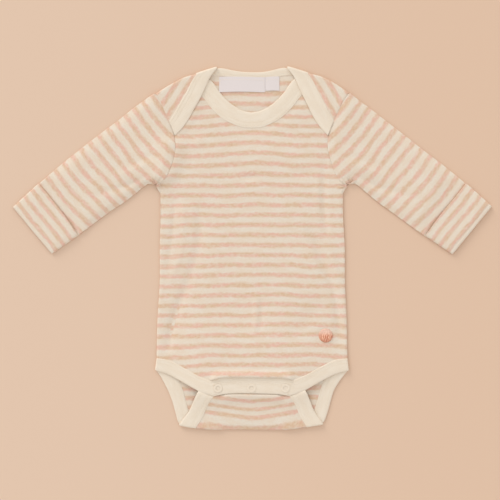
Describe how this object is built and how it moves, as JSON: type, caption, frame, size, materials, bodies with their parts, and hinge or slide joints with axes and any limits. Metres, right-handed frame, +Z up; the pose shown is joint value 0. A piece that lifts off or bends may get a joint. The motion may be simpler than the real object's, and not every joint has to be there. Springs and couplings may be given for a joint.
{
  "type": "baby bodysuit",
  "caption": "Long-sleeved newborn bodysuit of striped jersey with an envelope neck, fold-over hand mitts and a snap crotch, laid flat with its front up.",
  "frame": {"origin": "centre of the garment's outline, on the surface that it lies on", "axes": "+Z up through the garment's front, +Y towards the neck, +X towards the sleeve on the right of someone who looks down on it with the neck away from them"},
  "size_m": [0.4888, 0.3724, 0.0081],
  "materials": {
    "striped_jersey": "fine cotton jersey in narrow cream and heathered beige stripes, matt",
    "cream_rib": "plain cream rib knit, matt",
    "white_satin": "smooth woven satin ribbon, faint sheen",
    "snap_cream": "cream enamelled ring snap, satin",
    "rose_badge": "rose-coloured round patch, satin"
  },
  "bodies": {
    "root": {"back_panel": "striped_jersey", "front_panel": "striped_jersey", "sleeve_left": "striped_jersey", "sleeve_right": "striped_jersey", "mitt_flap_left": "striped_jersey", "mitt_flap_right": "striped_jersey", "front_neck_band": "cream_rib", "back_neck_band": "cream_rib", "leg_band_left": "cream_rib", "leg_band_right": "cream_rib", "front_placket": "cream_rib", "back_placket": "cream_rib", "neck_label": "white_satin", "size_tab": "white_satin", "hem_badge": "rose_badge", "snap_cap_left": "snap_cream", "snap_cap_centre": "snap_cream", "snap_cap_right": "snap_cream", "snap_socket_left": "snap_cream", "snap_socket_centre": "snap_cream", "snap_socket_right": "snap_cream", "snap_stud_left": "snap_cream", "snap_stud_centre": "snap_cream", "snap_stud_right": "snap_cream"}
  },
  "joints": []
}
